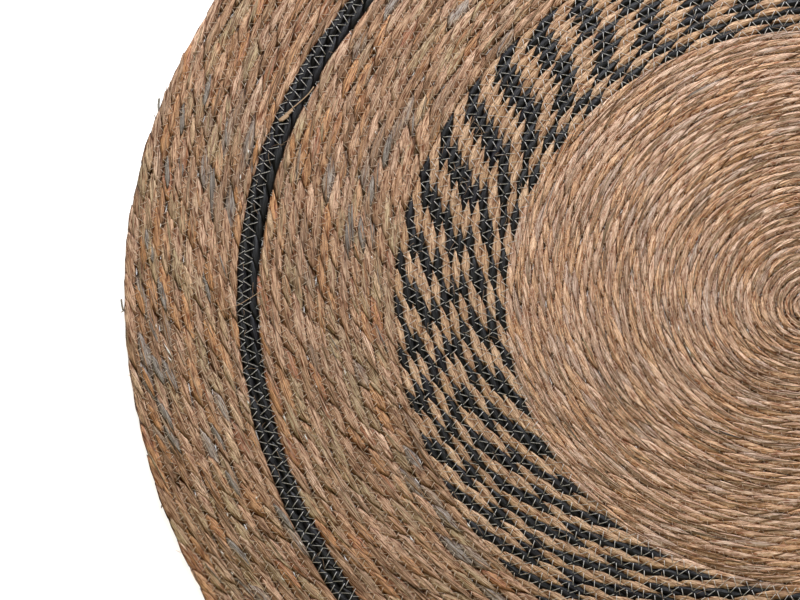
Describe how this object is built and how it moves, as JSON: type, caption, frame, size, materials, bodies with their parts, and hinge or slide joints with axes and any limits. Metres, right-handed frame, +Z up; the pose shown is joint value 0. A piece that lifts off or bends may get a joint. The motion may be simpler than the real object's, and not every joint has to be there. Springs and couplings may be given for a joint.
{
  "type": "round natural fibre rug",
  "caption": "Flat round rug of twisted plant-fibre rope wound in a spiral and sewn row to row, with a dark ring and a two-coloured band.",
  "frame": {"origin": "middle of the underside, which lies on the floor", "axes": "+Z up through the rug's thickness; X and Y lie in its plane, and both ends of the black rope are on the +X side"},
  "size_m": [1.1914, 1.2082, 0.0092],
  "materials": {
    "plain_rope_fine": "dry twisted plant-fibre rope, light tan, fine rows",
    "two_colour_rope": "dry twisted rope of one light tan strand and one black strand",
    "plain_rope": "dry twisted plant-fibre rope, mixed tan, grey and brown",
    "black_rope": "dry twisted plant-fibre rope dyed black, pale sewing thread"
  },
  "bodies": {
    "root": {"centre_field": "plain_rope_fine", "patterned_band": "two_colour_rope", "middle_field": "plain_rope", "black_ring": "black_rope", "rim_field": "plain_rope"}
  },
  "joints": []
}
